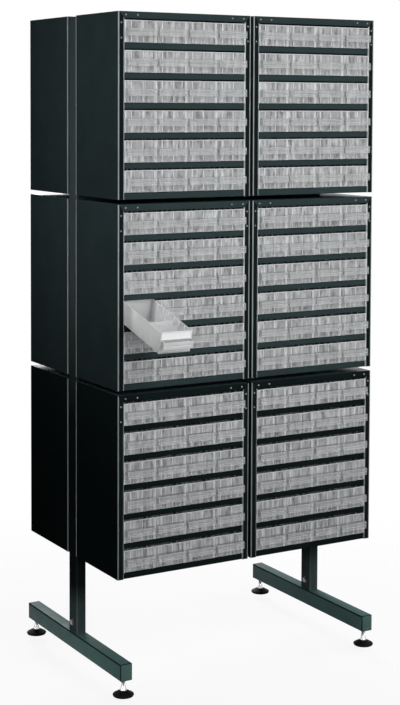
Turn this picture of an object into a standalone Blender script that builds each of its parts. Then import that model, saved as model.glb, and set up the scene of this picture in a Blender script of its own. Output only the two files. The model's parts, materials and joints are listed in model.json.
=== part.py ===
"""Small parts drawer stand.

Twelve steel cabinets of clear drawers stand back to back on a frame of two uprights, two base bars
and four cross rails, with a screw-adjusted glide under each bar end. One drawer hangs open.
Metres, +Z up, floor at z = 0. The front cabinets face -Y; left and right are as seen from the front.
"""
import math

import bmesh
import bpy
from mathutils import Matrix

# Fits between pieces
SEAT_GAP = 0.0003           # pieces that rest on, or run in, each other
DRAWER_GAP = 0.001          # between neighbouring drawers in a row
SHELF_CLEARANCE = 0.0005    # between a shelf's rear edge and the spine of a drawer bank
REAR_ROOM = 0.026           # from the rear of the drawers to the outside of the casing's back
CUT_MARGIN = 0.005          # how far a cut runs past the face it opens

# Cabinet casing
TIERS = 3
ROWS = 6
COLUMNS = 4
CASE_WIDTH = 0.357
FLANGE_WIDTH = 0.016
TOP_BAND = 0.016
BOTTOM_BAND = 0.016
OPENING_HEIGHT = 0.055
LIP_HEIGHT = 0.014
SHEET = 0.0012
COLUMN_GAP = 0.008
TIER_GAP = 0.011

# Drawer
DRAWER_LENGTH = 0.196
DRAWER_HEIGHT = 0.051
DRAWER_WALL = 0.0016
DRAWER_FLOOR = 0.002
FRONT_SETBACK = 0.001
HANDLE_REACH = 0.016
HANDLE_BOTTOM = 0.015
HANDLE_HEIGHT = 0.017
BANK_SPINE = 0.002

# Drawers that slide by themselves: the upper rows of the middle front left cabinet
SLIDING_TIER = "middle"
SLIDING_ROWS = 4
OPEN_ROW = 4
OPEN_COLUMN = 1
PULL_OUT = 0.168
DROOP = math.radians(15.25)
ROD_RADIUS = 0.003

# Frame of tubes
UPRIGHT_WIDTH = 0.025
UPRIGHT_DEPTH = 0.0434
UPRIGHT_TOP_DROP = 0.003
TUBE_WALL = 0.002
BAR_WIDTH = 0.030
BAR_HEIGHT = 0.040
BAR_LENGTH = 0.522
LEG_HEIGHT = 0.195
SPIGOT_HEIGHT = 0.060
RAIL_HEIGHT = 0.040
TOP_RAIL_DROP = 0.012
BOTTOM_RAIL_LIFT = 0.002

# Bolt through each upright and the spigot inside it
BOLT_RADIUS = 0.004
BOLT_HEAD_RADIUS = 0.0075
BOLT_HEAD_THICKNESS = 0.0055
BOLT_LIFT = 0.025

# Levelling glide
GLIDE_HEIGHT = 0.039
GLIDE_INSET = 0.016
PAD_RADIUS = 0.025
PAD_RIM = 0.005
PAD_CHAMFER = 0.001
PAD_HEIGHT = 0.013
PAD_NECK_RADIUS = 0.010
PAD_SOCKET_DEPTH = 0.007
PIN_RADIUS = 0.0035
SPINDLE_RADIUS = 0.005
HUB_RADIUS = 0.008
HUB_HEIGHT = 0.010

# Facets round a turned piece
PAD_SIDES = 28
SPINDLE_SIDES = 16
HEX_SIDES = 6
SMOOTH_ANGLE = math.radians(40)

# Colour, roughness and metallic value of each finish
CASE_PAINT = ("case_paint", (0.012, 0.017, 0.017), 0.45, 0.0)
FRAME_PAINT = ("frame_paint", (0.035, 0.070, 0.062), 0.45, 0.0)
CLEAR_PLASTIC = ("clear_plastic", (0.62, 0.64, 0.64), 0.20, 0.0)
BRIGHT_STEEL = ("bright_steel", (0.70, 0.70, 0.70), 0.20, 1.0)
BLACK_PLASTIC = ("black_plastic", (0.010, 0.010, 0.010), 0.50, 0.0)

# Sizes worked out from those above
ROW_PITCH = OPENING_HEIGHT + LIP_HEIGHT
CASE_HEIGHT = TOP_BAND + BOTTOM_BAND + ROWS * OPENING_HEIGHT + (ROWS - 1) * LIP_HEIGHT
OPENING_WIDTH = CASE_WIDTH - 2 * FLANGE_WIDTH
DRAWER_PITCH = OPENING_WIDTH / COLUMNS
DRAWER_WIDTH = DRAWER_PITCH - DRAWER_GAP
DRAWER_REAR = FRONT_SETBACK + DRAWER_LENGTH
SHELF_DEPTH = DRAWER_REAR - SHELF_CLEARANCE
CASE_DEPTH = DRAWER_REAR + REAR_ROOM
CASE_BACK = UPRIGHT_DEPTH / 2 + SEAT_GAP
CASE_FRONT = CASE_BACK + CASE_DEPTH
CASE_X = (COLUMN_GAP + CASE_WIDTH) / 2
BAR_TOP = GLIDE_HEIGHT + BAR_HEIGHT
CASE_BOTTOM = BAR_TOP + LEG_HEIGHT
TIER_PITCH = CASE_HEIGHT + TIER_GAP
CASE_TOP = CASE_BOTTOM + (TIERS - 1) * TIER_PITCH + CASE_HEIGHT
BAR_X = COLUMN_GAP / 2 + CASE_WIDTH - BAR_WIDTH / 2
UPRIGHT_BOTTOM = BAR_TOP + SEAT_GAP
UPRIGHT_TOP = CASE_TOP - UPRIGHT_TOP_DROP
GLIDE_Y = BAR_LENGTH / 2 - GLIDE_INSET
TIER_NAMES = ("lower", "middle", "upper")
SIDES = {"left": -1, "right": 1}
FACES = {"front": -1, "back": 1}

# The origin is midway between the open drawer's handle and the rearmost piece, on the floor
ROD_Y = -CASE_FRONT + ROD_RADIUS
OPEN_REACH = (ROD_RADIUS - FRONT_SETBACK + PULL_OUT + HANDLE_REACH) * math.cos(DROOP)
OPEN_LEAN = (ROD_RADIUS + SEAT_GAP + HANDLE_BOTTOM + HANDLE_HEIGHT) * math.sin(DROOP)
FRONT_EDGE = ROD_Y - OPEN_REACH - OPEN_LEAN
REAR_EDGE = max(CASE_FRONT - FRONT_SETBACK + HANDLE_REACH, BAR_LENGTH / 2, GLIDE_Y + PAD_RADIUS)
STAND_Y = -(FRONT_EDGE + REAR_EDGE) / 2


def clear_scene():
    for old in list(bpy.data.objects):
        bpy.data.objects.remove(old, do_unlink=True)


def finish_mesh(bm, name):
    bmesh.ops.recalc_face_normals(bm, faces=bm.faces)
    mesh = bpy.data.meshes.new(name)
    bm.to_mesh(mesh)
    bm.free()
    return mesh


def box_mesh(name, low, high):
    """A box between two corners."""
    bm = bmesh.new()
    bmesh.ops.create_cube(bm, size=1.0)
    for vert in bm.verts:
        for axis in range(3):
            vert.co[axis] = high[axis] if vert.co[axis] > 0 else low[axis]
    return finish_mesh(bm, name)


def prism_mesh(name, profile, low_x, high_x):
    """A (y, z) outline extruded along X."""
    bm = bmesh.new()
    face = bm.faces.new([bm.verts.new((low_x, y, z)) for y, z in profile])
    grown = bmesh.ops.extrude_face_region(bm, geom=[face])
    moved = [item for item in grown["geom"] if isinstance(item, bmesh.types.BMVert)]
    bmesh.ops.translate(bm, verts=moved, vec=(high_x - low_x, 0, 0))
    return finish_mesh(bm, name)


def turned_mesh(name, profile, sides):
    """A (radius, z) outline spun round the Z axis, from one point on the axis to another."""
    bm = bmesh.new()
    verts = [bm.verts.new((radius, 0, z)) for radius, z in profile]
    edges = [bm.edges.new(pair) for pair in zip(verts, verts[1:])]
    bmesh.ops.spin(bm, geom=verts + edges, cent=(0, 0, 0), axis=(0, 0, 1), angle=2 * math.pi, steps=sides)
    bmesh.ops.remove_doubles(bm, verts=bm.verts, dist=SEAT_GAP / 10)
    return finish_mesh(bm, name)


def rod_mesh(name, radius, low_x, high_x, sides):
    """A round or hexagonal rod along X."""
    mesh = turned_mesh(name, [(0, high_x), (radius, high_x), (radius, low_x), (0, low_x)], sides)
    mesh.transform(Matrix.Rotation(math.pi / 2, 4, "Y"))
    return mesh


def combined(name, base, steps):
    """The base mesh after each (operation, mesh) step, as one new mesh."""
    scene = bpy.context.scene.collection
    body = bpy.data.objects.new(name, base)
    scene.objects.link(body)
    tools = []
    for operation, mesh in steps:
        tool = bpy.data.objects.new(name + "_tool", mesh)
        tool.hide_render = True
        tool.display_type = "WIRE"
        scene.objects.link(tool)
        tools.append(tool)
        step = body.modifiers.new(operation.title(), "BOOLEAN")
        step.operation = operation
        step.object = tool
    graph = bpy.context.evaluated_depsgraph_get()
    result = bpy.data.meshes.new_from_object(body.evaluated_get(graph))
    result.name = name
    for item in [body] + tools:
        bpy.data.objects.remove(item, do_unlink=True)
    return result


def finish_material(finish):
    name, colour, roughness, metallic = finish
    found = bpy.data.materials.get(name)
    if found:
        return found
    material = bpy.data.materials.new(name)
    material.use_nodes = True
    shader = material.node_tree.nodes["Principled BSDF"]
    shader.inputs["Base Color"].default_value = (*colour, 1)
    shader.inputs["Roughness"].default_value = roughness
    shader.inputs["Metallic"].default_value = metallic
    material.diffuse_color = (*colour, 1)
    return material


def add_piece(name, mesh, finish, parent, place=(0, 0, 0), turn=0.0, smooth=False):
    """One named piece; turn is its rotation about Z."""
    piece = bpy.data.objects.new(name, mesh)
    bpy.context.scene.collection.objects.link(piece)
    piece.parent = parent
    piece.location = place
    piece.rotation_euler = (0, 0, turn)
    if not mesh.materials:
        mesh.materials.append(finish_material(finish))
    if smooth:
        mesh.shade_smooth()
        mesh.set_sharp_from_angle(angle=SMOOTH_ANGLE)
    return piece


def add_empty(name, parent, place, tilt=0.0):
    """A pivot point; tilt is its rotation about X."""
    empty = bpy.data.objects.new(name, None)
    bpy.context.scene.collection.objects.link(empty)
    empty.parent = parent
    empty.location = place
    empty.rotation_euler = (tilt, 0, 0)
    return empty


def shelf_z(row):
    """Height of the surface that a row's drawers rest on; row 1 is the top one."""
    return CASE_HEIGHT - TOP_BAND - OPENING_HEIGHT - (row - 1) * ROW_PITCH


def drawer_x(column):
    """Middle of a column of drawers, across the casing."""
    return (column - (COLUMNS + 1) / 2) * DRAWER_PITCH


def casing_void():
    """Side outline of the space inside a casing, with a shelf under each row and a gap behind the shelves."""
    back = CASE_DEPTH - SHEET
    top = CASE_HEIGHT - SHEET
    outline = [(back, SHEET), (back, top), (SHEET, top)]
    for row in range(1, ROWS + 1):
        shelf = shelf_z(row)
        underside = shelf - SHEET
        outline += [(SHEET, shelf), (SHELF_DEPTH, shelf), (SHELF_DEPTH, underside), (SHEET, underside)]
    return outline + [(SHEET, SHEET)]


def casing_mesh(name, rod_notch=False):
    """Sheet steel casing with a front frame and shelves; its front face is y = 0 and its bottom z = 0."""
    half = CASE_WIDTH / 2
    outer = box_mesh(name, (-half, 0, 0), (half, CASE_DEPTH, CASE_HEIGHT))
    steps = [("DIFFERENCE", prism_mesh("void", casing_void(), SHEET - half, half - SHEET))]
    for row in range(1, ROWS + 1):
        low = (-OPENING_WIDTH / 2, -CUT_MARGIN, shelf_z(row))
        high = (OPENING_WIDTH / 2, SHEET + CUT_MARGIN, shelf_z(row) + OPENING_HEIGHT)
        steps.append(("DIFFERENCE", box_mesh("opening", low, high)))
    if rod_notch:
        room = DRAWER_WIDTH / 2 + SEAT_GAP
        middle = drawer_x(OPEN_COLUMN)
        shelf = shelf_z(OPEN_ROW)
        depth = 2 * ROD_RADIUS + SEAT_GAP
        low = (middle - room, -CUT_MARGIN, shelf - depth)
        high = (middle + room, depth, shelf + CUT_MARGIN)
        steps.append(("DIFFERENCE", box_mesh("notch", low, high)))
    return combined(name, outer, steps)


def drawer_outline(rear):
    """Side outline of a drawer with its box-shaped handle; the front wall is y = 0."""
    handle_top = HANDLE_BOTTOM + HANDLE_HEIGHT
    return [(0, 0), (rear, 0), (rear, DRAWER_HEIGHT), (0, DRAWER_HEIGHT), (0, handle_top),
            (-HANDLE_REACH, handle_top), (-HANDLE_REACH, HANDLE_BOTTOM), (0, HANDLE_BOTTOM)]


def drawer_mesh():
    """An open-topped drawer with a floor and four walls."""
    half = DRAWER_WIDTH / 2
    inner = half - DRAWER_WALL
    outer = prism_mesh("drawer", drawer_outline(DRAWER_LENGTH), -half, half)
    low = (-inner, DRAWER_WALL, DRAWER_FLOOR)
    high = (inner, DRAWER_LENGTH - DRAWER_WALL, DRAWER_HEIGHT + CUT_MARGIN)
    return combined("drawer", outer, [("DIFFERENCE", box_mesh("hollow", low, high))])


def bank_mesh(name, rows):
    """Closed drawers of one cabinet joined along a thin spine behind the shelves."""
    half_width = (OPENING_WIDTH - DRAWER_GAP) / 2
    bottom = shelf_z(rows[-1]) + SEAT_GAP
    top = shelf_z(rows[0]) + SEAT_GAP + DRAWER_HEIGHT
    spine = box_mesh(name, (-half_width, DRAWER_REAR, bottom), (half_width, DRAWER_REAR + BANK_SPINE, top))
    outline = drawer_outline(DRAWER_LENGTH + BANK_SPINE / 2)
    blocks = bmesh.new()
    for row in rows:
        for column in range(1, COLUMNS + 1):
            block = prism_mesh("block", outline, -DRAWER_WIDTH / 2, DRAWER_WIDTH / 2)
            block.transform(Matrix.Translation((drawer_x(column), FRONT_SETBACK, shelf_z(row) + SEAT_GAP)))
            blocks.from_mesh(block)
            bpy.data.meshes.remove(block)
    return combined(name, spine, [("UNION", finish_mesh(blocks, "blocks"))])


def add_cabinets(stand):
    """The casings with their drawers, each named after its tier, face and side."""
    plain_case = casing_mesh("casing")
    notched_case = casing_mesh("casing_with_notch", rod_notch=True)
    full_bank = bank_mesh("drawer_bank", range(1, ROWS + 1))
    part_bank = bank_mesh("part_bank", range(SLIDING_ROWS + 1, ROWS + 1))
    for tier, tier_name in enumerate(TIER_NAMES[:TIERS]):
        for face_name, face in FACES.items():
            for side_name, side in SIDES.items():
                label = "_".join((tier_name, face_name, side_name))
                place = (side * CASE_X, face * CASE_FRONT, CASE_BOTTOM + tier * TIER_PITCH)
                turn = math.pi if face > 0 else 0.0
                slides = label == SLIDING_TIER + "_front_left"
                case = notched_case if slides else plain_case
                bank = part_bank if slides else full_bank
                add_piece("casing_" + label, case, CASE_PAINT, stand, place, turn)
                add_piece("drawer_bank_" + label, bank, CLEAR_PLASTIC, stand, place, turn)
                if slides:
                    add_sliding_drawers(stand, place)


def add_sliding_drawers(stand, case_place):
    """The drawers that slide one by one, with the open one tilted on the rod at its shelf's edge."""
    mesh = drawer_mesh()
    rod = rod_mesh("shelf_edge_rod", ROD_RADIUS, -DRAWER_WIDTH / 2, DRAWER_WIDTH / 2, SPINDLE_SIDES)
    for row in range(1, SLIDING_ROWS + 1):
        for column in range(1, COLUMNS + 1):
            name = f"drawer_row{row}_col{column}"
            x = case_place[0] + drawer_x(column)
            shelf = case_place[2] + shelf_z(row)
            if (row, column) == (OPEN_ROW, OPEN_COLUMN):
                pivot = add_empty("open_drawer_pivot", stand, (x, ROD_Y, shelf - ROD_RADIUS), DROOP)
                add_piece("shelf_edge_rod", rod, CASE_PAINT, pivot, smooth=True)
                out = (0, FRONT_SETBACK - ROD_RADIUS - PULL_OUT, ROD_RADIUS + SEAT_GAP)
                add_piece(name, mesh, CLEAR_PLASTIC, pivot, out)
            else:
                closed = (x, case_place[1] + FRONT_SETBACK, shelf + SEAT_GAP)
                add_piece(name, mesh, CLEAR_PLASTIC, stand, closed)


def tube_cut(low, high, along):
    """The cut that leaves a tube of TUBE_WALL between two corners, open at both ends along one axis."""
    inner_low = [low[axis] + TUBE_WALL for axis in range(3)]
    inner_high = [high[axis] - TUBE_WALL for axis in range(3)]
    inner_low[along] = low[along] - CUT_MARGIN
    inner_high[along] = high[along] + CUT_MARGIN
    return ("DIFFERENCE", box_mesh("bore", inner_low, inner_high))


def bolt_hole(middle_z):
    """The cut for the bolt, right through an upright and its spigot."""
    reach = UPRIGHT_WIDTH / 2 + CUT_MARGIN
    hole = rod_mesh("bolt_hole", BOLT_RADIUS + SEAT_GAP, -reach, reach, SPINDLE_SIDES)
    hole.transform(Matrix.Translation((0, 0, middle_z)))
    return ("DIFFERENCE", hole)


def upright_mesh():
    """A rectangular tube standing on its base bar, with a cross hole for the bolt."""
    low = (-UPRIGHT_WIDTH / 2, -UPRIGHT_DEPTH / 2, UPRIGHT_BOTTOM)
    high = (UPRIGHT_WIDTH / 2, UPRIGHT_DEPTH / 2, UPRIGHT_TOP)
    steps = [tube_cut(low, high, 2), bolt_hole(BAR_TOP + BOLT_LIFT)]
    return combined("upright", box_mesh("upright", low, high), steps)


def base_bar_mesh():
    """A closed tube with the upright's spigot welded on top and a threaded hole near each end."""
    low = (-BAR_WIDTH / 2, -BAR_LENGTH / 2, GLIDE_HEIGHT)
    high = (BAR_WIDTH / 2, BAR_LENGTH / 2, BAR_TOP)
    inside = TUBE_WALL + SEAT_GAP
    spigot_x = UPRIGHT_WIDTH / 2 - inside
    spigot_y = UPRIGHT_DEPTH / 2 - inside
    spigot = box_mesh("spigot", (-spigot_x, -spigot_y, BAR_TOP - TUBE_WALL / 2),
                      (spigot_x, spigot_y, BAR_TOP + SPIGOT_HEIGHT))
    inner_low = [corner + TUBE_WALL for corner in low]
    inner_high = [corner - TUBE_WALL for corner in high]
    hollow = box_mesh("hollow", inner_low, inner_high)
    steps = [("UNION", spigot), ("DIFFERENCE", hollow), bolt_hole(BAR_TOP + BOLT_LIFT)]
    radius = SPINDLE_RADIUS + SEAT_GAP
    for y in (-GLIDE_Y, GLIDE_Y):
        bottom = GLIDE_HEIGHT - CUT_MARGIN
        top = GLIDE_HEIGHT + TUBE_WALL + CUT_MARGIN
        hole = turned_mesh("thread", [(0, top), (radius, top), (radius, bottom), (0, bottom)], SPINDLE_SIDES)
        hole.transform(Matrix.Translation((0, y, 0)))
        steps.append(("DIFFERENCE", hole))
    return combined("base_bar", box_mesh("base_bar", low, high), steps)


def bolt_mesh():
    """A hexagon bolt with its nut, across the upright."""
    seat = UPRIGHT_WIDTH / 2 + SEAT_GAP
    end = seat + BOLT_HEAD_THICKNESS
    shank_end = seat + BOLT_HEAD_THICKNESS / 2
    shank = rod_mesh("bolt", BOLT_RADIUS, -shank_end, shank_end, SPINDLE_SIDES)
    head = rod_mesh("head", BOLT_HEAD_RADIUS, -end, -seat, HEX_SIDES)
    nut = rod_mesh("nut", BOLT_HEAD_RADIUS, seat, end, HEX_SIDES)
    return combined("upright_bolt", shank, [("UNION", head), ("UNION", nut)])


def cross_rail_mesh():
    """A rectangular tube that fits between the uprights, centred on the origin."""
    half = BAR_X - UPRIGHT_WIDTH / 2 - SEAT_GAP
    low = (-half, -UPRIGHT_DEPTH / 2, -RAIL_HEIGHT / 2)
    high = (half, UPRIGHT_DEPTH / 2, RAIL_HEIGHT / 2)
    return combined("cross_rail", box_mesh("cross_rail", low, high), [tube_cut(low, high, 0)])


def pad_mesh():
    """A round foot with a sloped top and a socket for the spindle's pin."""
    socket = PIN_RADIUS + SEAT_GAP
    socket_floor = PAD_HEIGHT - PAD_SOCKET_DEPTH
    profile = [(0, socket_floor), (socket, socket_floor), (socket, PAD_HEIGHT), (PAD_NECK_RADIUS, PAD_HEIGHT),
               (PAD_RADIUS, PAD_RIM), (PAD_RADIUS, PAD_CHAMFER), (PAD_RADIUS - PAD_CHAMFER, 0), (0, 0)]
    return turned_mesh("glide_pad", profile, PAD_SIDES)


def spindle_mesh():
    """A screw with a conical hub that stands on the pad; its top end bottoms out inside the bar."""
    top = BAR_TOP - TUBE_WALL - SEAT_GAP
    seat = PAD_HEIGHT + SEAT_GAP
    pin_end = PAD_HEIGHT - PAD_SOCKET_DEPTH + SEAT_GAP
    profile = [(0, top), (SPINDLE_RADIUS, top), (SPINDLE_RADIUS, seat + HUB_HEIGHT), (HUB_RADIUS, seat),
               (PIN_RADIUS, seat), (PIN_RADIUS, pin_end), (0, pin_end)]
    return turned_mesh("glide_spindle", profile, SPINDLE_SIDES)


def add_frame(stand):
    """Uprights, base bars, bolts, cross rails and glides."""
    upright = upright_mesh()
    base_bar = base_bar_mesh()
    bolt = bolt_mesh()
    pad = pad_mesh()
    spindle = spindle_mesh()
    for side_name, side in SIDES.items():
        x = side * BAR_X
        add_piece("upright_" + side_name, upright, FRAME_PAINT, stand, (x, 0, 0))
        add_piece("base_bar_" + side_name, base_bar, FRAME_PAINT, stand, (x, 0, 0))
        bolt_place = (x, 0, BAR_TOP + BOLT_LIFT)
        add_piece("upright_bolt_" + side_name, bolt, BRIGHT_STEEL, stand, bolt_place, smooth=True)
        for face_name, face in FACES.items():
            label = face_name + "_" + side_name
            foot = (x, face * GLIDE_Y, 0)
            add_piece("glide_pad_" + label, pad, BLACK_PLASTIC, stand, foot, smooth=True)
            add_piece("glide_spindle_" + label, spindle, BRIGHT_STEEL, stand, foot, smooth=True)
    rail = cross_rail_mesh()
    heights = {"bottom": CASE_BOTTOM + BOTTOM_RAIL_LIFT + RAIL_HEIGHT / 2,
               "top": CASE_TOP - TOP_RAIL_DROP - RAIL_HEIGHT / 2}
    for gap, name in enumerate(("lower", "upper")[:TIERS - 1]):
        heights[name] = CASE_BOTTOM + (gap + 1) * TIER_PITCH - TIER_GAP / 2
    for name, height in heights.items():
        add_piece("cross_rail_" + name, rail, FRAME_PAINT, stand, (0, 0, height))


def main():
    clear_scene()
    stand = add_empty("stand", None, (0, STAND_Y, 0))
    add_frame(stand)
    add_cabinets(stand)


main()
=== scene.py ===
"""Looks of the small parts drawer stand: detailed pieces, finishes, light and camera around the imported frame.

Metres, +Z up; at rest the pads stand at z = 0. The front cabinets face -Y.
Left and right are as seen from the front.
"""
import json
import math
import random

import bmesh
import bpy
from mathutils import Matrix, Vector


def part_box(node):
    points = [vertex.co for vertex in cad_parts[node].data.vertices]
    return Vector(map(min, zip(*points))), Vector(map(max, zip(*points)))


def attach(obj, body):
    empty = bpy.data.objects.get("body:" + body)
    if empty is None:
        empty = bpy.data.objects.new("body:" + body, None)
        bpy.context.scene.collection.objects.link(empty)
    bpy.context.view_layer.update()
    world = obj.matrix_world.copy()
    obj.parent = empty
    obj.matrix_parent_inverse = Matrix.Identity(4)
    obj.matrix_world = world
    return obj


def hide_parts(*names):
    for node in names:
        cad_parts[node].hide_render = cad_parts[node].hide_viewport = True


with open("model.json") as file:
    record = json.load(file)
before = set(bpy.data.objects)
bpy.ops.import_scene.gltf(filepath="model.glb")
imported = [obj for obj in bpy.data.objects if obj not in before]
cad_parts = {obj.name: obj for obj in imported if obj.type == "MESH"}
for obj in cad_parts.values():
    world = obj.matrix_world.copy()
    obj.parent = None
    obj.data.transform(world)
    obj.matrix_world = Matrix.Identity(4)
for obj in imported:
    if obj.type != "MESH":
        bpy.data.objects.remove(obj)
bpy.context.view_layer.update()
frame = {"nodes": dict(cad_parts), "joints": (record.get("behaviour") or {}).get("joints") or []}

# Places of the pieces, as the frame names them
TIERS = ("lower", "middle", "upper")
FACES = ("front", "back")
SIDES = ("left", "right")
RAILS = ("bottom", "lower", "upper", "top")
SLIDING_CABINET = "middle_front_left"
ROWS = 6
COLUMNS = 4
SLIDING_ROWS = 4
OPEN_ROW = 4
OPEN_COLUMN = 1
OPEN_DRAWER = f"drawer_row{OPEN_ROW}_col{OPEN_COLUMN}"
CLOSED_DRAWER = "drawer_row1_col1"
ROOT = "stand"

# Material slots of a piece, and a casing's own names for three of them
PLAIN, LINE, THIRD, FRONT, GRIP, RIM, INSIDE = range(7)
TOP, ROLL, FLANGE = FRONT, GRIP, RIM
NO_SLOT = -1

X_AXIS, Y_AXIS, Z_AXIS = range(3)
QUARTER_TURN = math.pi / 2
HALF_TURN = math.pi

# Angles in degrees: how sharp an edge has to be to get a bevel, or to stay sharp in the shading
FOLD_ANGLE = 50
DRAWER_EDGE_ANGLE = 80
BAR_EDGE_ANGLE = 60
SMOOTH_ANGLE = 40
TURNED_SMOOTH_ANGLE = 30

# Steps in the quarter circle of a bend, and sides of what is turned
SHEET_STEPS = 4
TUBE_STEPS = 3
TURNED_SIDES = 32

# Gaps that keep pieces, and parts of one piece, from touching
SEAT = 0.0003
JOIN = 0.00005

# Casing
FLANGE_WIDTH = 0.016
FLANGE_HEM = 0.0024
BAND_HEIGHT = 0.016
OPENING_HEIGHT = 0.055
LIP_HEIGHT = 0.014
LIP_SETBACK = 0.0040
ROLL_RADIUS = 0.0016
SHEET = 0.0012
SHEET_EDGE = 0.00055
SHELF_DEPTH = 0.1965
MITRE_GAP = 0.0004
CORNER_RADIUS = 0.0014
CORNER_RETURN = 0.0010
REAR_HEM = 0.0040
REAR_TURN = 0.0003
SHORT_LINE = 0.004
ROD_NOTCH = 0.0063

# Screws of the front frame: a head's outline from dimple to rim is in shares of its radius and rise
SCREW_RADIUS = 0.0021
SCREW_RISE = 0.0009
SCREW_DIMPLE = 0.5
SCREW_OUTLINE = ((0.3, 1.0), (0.75, 0.75), (1.0, 0.2), (1.0, 0.0))
SCREW_SIDES = 14
BAND_SCREWS = (0.020, 0.051)
FLANGE_SCREWS = (0.026, 0.061)

# Drawer
DRAWER_WALL = 0.0016
DRAWER_FLOOR = 0.002
DRAWER_DRAFT = 0.0007
DRAWER_SETBACK = 0.001
DRAWER_EDGE = 0.0003
HANDLE_REACH = 0.016
HANDLE_BOTTOM = 0.015
HANDLE_HEIGHT = 0.017
HANDLE_TOP = HANDLE_BOTTOM + HANDLE_HEIGHT
GROOVE_BOTTOM = 0.0226
GROOVE_HEIGHT = 0.0016
GROOVE_DEPTH = 0.0007
RIM_WIDTH = 0.0023
RIM_DEPTH = 0.0012
TOP_RIM = 0.0018
BOTTOM_RIM = 0.0026
BEADS = (0.22, 0.60)
BEAD_WIDTH = 0.0022
BEAD_DEPTH = 0.0006
RIB_DEPTHS = (0.030, 0.056, 0.082, 0.108, 0.134, 0.160)
RIB_SIZE = 0.0012
DIVIDER_THICKNESS = 0.0012
DIVIDER_HEIGHT = 0.041
EXTRA_DIVIDERS = (0, 1, 1, 2)
DRAWER_KINDS = 6
LABEL_THICKNESS = 0.0005
LABEL_EDGE = LABEL_THICKNESS / 4

# Frame of tubes
TUBE_WALL = 0.002
TUBE_RADIUS = 0.0024
POST_RADIUS = 0.0026
CAP_THICKNESS = 0.002
CAP_SINK = 0.0008
SEAM = 0.0006
BAR_EDGE = 0.0010
SPIGOT_HEIGHT = 0.060

# Bolt; the chamfer is a share of the hexagon's height
WASHER_RADIUS = 0.0075
WASHER_THICKNESS = 0.0012
HEX_RADIUS = 0.0068
HEX_SIDES = 6
HEX_CHAMFER = 0.2
BOLT_RADIUS = 0.004
THREAD_PITCH = 0.0015
THREAD_DEPTH = 0.0006

# Glide: the pad's dome is in shares of its radius and height, the hub's levels are heights above the pad
SOCKET_RADIUS = 0.0038
PAD_DOME = ((0.36, 1.0), (0.42, 0.93), (0.62, 0.74), (0.84, 0.50), (0.96, 0.38), (1.0, 0.30),
            (1.0, 0.16), (0.97, 0.11), (0.97, 0.06), (0.95, 0.0))
PIN_RADIUS = 0.0035
ROD_RADIUS = 0.005
HUB_RIM = 0.0015
HUB_SHOULDER = 0.005
HUB_SHOULDER_SHARE = 0.82
HUB_TOP = 0.010
HUB_TOP_SHARE = 1.05
THREAD_START = 0.0105

# Rolled shelf edge: its outline near an end, in shares of its radius and of half its length
CRIMP = 0.85
EDGE_OUTLINE = ((1.0, 0.96), (1.0, 0.90), (CRIMP, 0.89), (CRIMP, 0.87), (1.0, 0.86))

# Finishes: the part of a noise's range that its two colours span, and the painted shade on the uprights as
# (height, share of colour)
NOISE_LOW = 0.3
NOISE_HIGH = 0.7
UPRIGHT_PAINTED_SHADE = ((0.15, 0.8), (0.20, 0.17), (0.62, 0.17), (0.95, 1.0))
PLASTIC_IOR = 1.55
MILK_DEPTH = 0.006

# Floor and surroundings: what they reflect onto the stand, and what the camera sees
FLOOR_HALF = 14.0
FLOOR_BOUNCE = 0.14
FLOOR_ROUGHNESS = 0.8
FLOOR_SEEN = 0.90
WORLD_BOUNCE = 0.06
WORLD_SEEN = 1.0

# Plain white on the floor: its share near the stand's middle and far from it, and how near and far
NEAR, NEAR_WHITE = 0.4, 0.90
FAR, FAR_WHITE = 1.8, 1.0

# Lamps: name, place, target, diameter, power in watts, spread in degrees
LAMPS = (
    ("key", (0.1, -3.3, 3.0), (0, 0, 1.4), 1.8, 18.5, 100),
    ("front", (-0.2, -3.5, 1.0), (0, 0, 1.25), 1.6, 7, 60),
    ("side", (-2.1, -0.2, 2.7), (-0.36, -0.05, 1.27), 1.0, 1.6, 32),
    ("low", (-2.2, -0.6, 0.16), (-0.36, 0, -0.05), 0.5, 0.26, 20),
    ("fill", (3.2, -1.6, 2.0), (0, 0, 0.9), 1.8, 45, 180),
    ("back", (0.8, 3.8, 2.6), (0, 0, 0.9), 1.8, 120, 180),
)

# Camera, fitted to the photograph
CAMERA_PLACE = (-1.98144, -3.30438, 1.37558)
CAMERA_AZIMUTH = math.radians(30.343)
CAMERA_TILT = math.radians(3.0718)
CAMERA_ROLL = math.radians(0.22)
CAMERA_LENS = 78.757
CAMERA_SHIFT = -0.232


# Materials

def socket_value(node, **values):
    """Sets a node's inputs; an underscore in a keyword stands for the space in the input's name."""
    for name, value in values.items():
        node.inputs[name.replace("_", " ")].default_value = value


def new_material(name):
    """A material with one Principled shader; returns the material, its node tree and the shader."""
    material = bpy.data.materials.new(name)
    material.use_nodes = True
    tree = material.node_tree
    return material, tree, tree.nodes["Principled BSDF"]


def noise(tree, scale, detail=3.0, stretch=(1, 1, 1)):
    """Noise in the piece's own coordinates, in metres."""
    place = tree.nodes.new("ShaderNodeTexCoord")
    mapping = tree.nodes.new("ShaderNodeMapping")
    socket_value(mapping, Scale=stretch)
    texture = tree.nodes.new("ShaderNodeTexNoise")
    socket_value(texture, Scale=scale, Detail=detail)
    tree.links.new(place.outputs["Object"], mapping.inputs["Vector"])
    tree.links.new(mapping.outputs["Vector"], texture.inputs["Vector"])
    return texture.outputs["Fac"]


def ramp(tree, source, stops):
    """A colour ramp over (position, colour) stops."""
    node = tree.nodes.new("ShaderNodeValToRGB")
    elements = node.color_ramp.elements
    while len(elements) < len(stops):
        elements.new(0.5)
    for element, (position, colour) in zip(elements, stops):
        element.position = position
        element.color = (*colour, 1)
    tree.links.new(source, node.inputs["Fac"])
    return node.outputs["Color"]


def even(low, high):
    """Stops for two colours or levels over the middle of a noise's range."""
    return [(NOISE_LOW, low), (NOISE_HIGH, high)]


def scaled(colour, factor):
    return tuple(channel * factor for channel in colour)


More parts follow.
